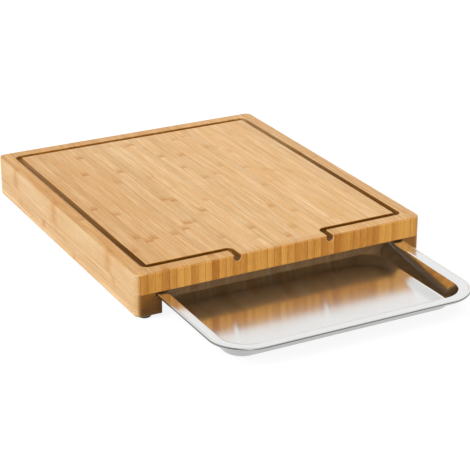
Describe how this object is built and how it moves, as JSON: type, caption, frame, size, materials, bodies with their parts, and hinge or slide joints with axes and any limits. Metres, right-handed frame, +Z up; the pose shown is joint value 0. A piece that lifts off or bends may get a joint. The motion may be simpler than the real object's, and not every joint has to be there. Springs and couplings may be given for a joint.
{
  "type": "cutting board with drip tray",
  "caption": "Thick bamboo cutting board of glued staves with a juice groove, front spouts, rubber feet and a slide-out stainless drip tray.",
  "frame": {"origin": "middle of the whole object's footprint on the table, with the tray drawn out as in the picture", "axes": "+Z up, -Y towards the front, where the tray comes out, +X to the right seen from the front"},
  "size_m": [0.3, 0.4844, 0.046],
  "materials": {
    "panel_bamboo": "satin, oiled",
    "rail_bamboo": "satin, oiled",
    "tray_steel": "satin, pressed sheet",
    "foot_rubber": "matt",
    "screw_steel": "zinc plated"
  },
  "bodies": {
    "board": {"panel_stave_01": "panel_bamboo", "panel_stave_02": "panel_bamboo", "panel_stave_03": "panel_bamboo", "panel_stave_04": "panel_bamboo", "panel_stave_05": "panel_bamboo", "panel_stave_06": "panel_bamboo", "panel_stave_07": "panel_bamboo", "panel_stave_08": "panel_bamboo", "panel_stave_09": "panel_bamboo", "panel_stave_10": "panel_bamboo", "panel_stave_11": "panel_bamboo", "panel_stave_12": "panel_bamboo", "panel_stave_13": "panel_bamboo", "panel_stave_14": "panel_bamboo", "panel_stave_15": "panel_bamboo", "panel_stave_16": "panel_bamboo", "panel_stave_17": "panel_bamboo", "panel_stave_18": "panel_bamboo", "panel_stave_19": "panel_bamboo", "panel_stave_20": "panel_bamboo", "panel_stave_21": "panel_bamboo", "panel_stave_22": "panel_bamboo", "panel_stave_23": "panel_bamboo", "panel_stave_24": "panel_bamboo", "panel_stave_25": "panel_bamboo", "panel_stave_26": "panel_bamboo", "panel_stave_27": "panel_bamboo", "panel_stave_28": "panel_bamboo", "panel_stave_29": "panel_bamboo", "panel_stave_30": "panel_bamboo", "panel_stave_31": "panel_bamboo", "panel_stave_32": "panel_bamboo", "panel_stave_33": "panel_bamboo", "panel_stave_34": "panel_bamboo", "panel_stave_35": "panel_bamboo", "panel_stave_36": "panel_bamboo", "panel_stave_37": "panel_bamboo", "panel_stave_38": "panel_bamboo", "panel_stave_39": "panel_bamboo", "panel_stave_40": "panel_bamboo", "panel_stave_41": "panel_bamboo", "panel_stave_42": "panel_bamboo", "panel_stave_43": "panel_bamboo", "left_rail_lower_stave": "rail_bamboo", "left_rail_middle_stave": "rail_bamboo", "left_rail_upper_stave": "rail_bamboo", "right_rail_lower_stave": "rail_bamboo", "right_rail_middle_stave": "rail_bamboo", "right_rail_upper_stave": "rail_bamboo", "back_rail_lower_stave": "rail_bamboo", "back_rail_middle_stave": "rail_bamboo", "back_rail_upper_stave": "rail_bamboo", "tray_stop_strip": "rail_bamboo", "front_left_foot": "foot_rubber", "front_right_foot": "foot_rubber", "back_left_foot": "foot_rubber", "back_right_foot": "foot_rubber", "foot_screws": "screw_steel"},
    "tray": {"drip_tray": "tray_steel"}
  },
  "joints": [
    {"name": "tray_slide", "type": "slide", "parent": "board", "child": "tray", "axis": [0, -1, 0], "range_m": [-0.129, 0.014]}
  ]
}
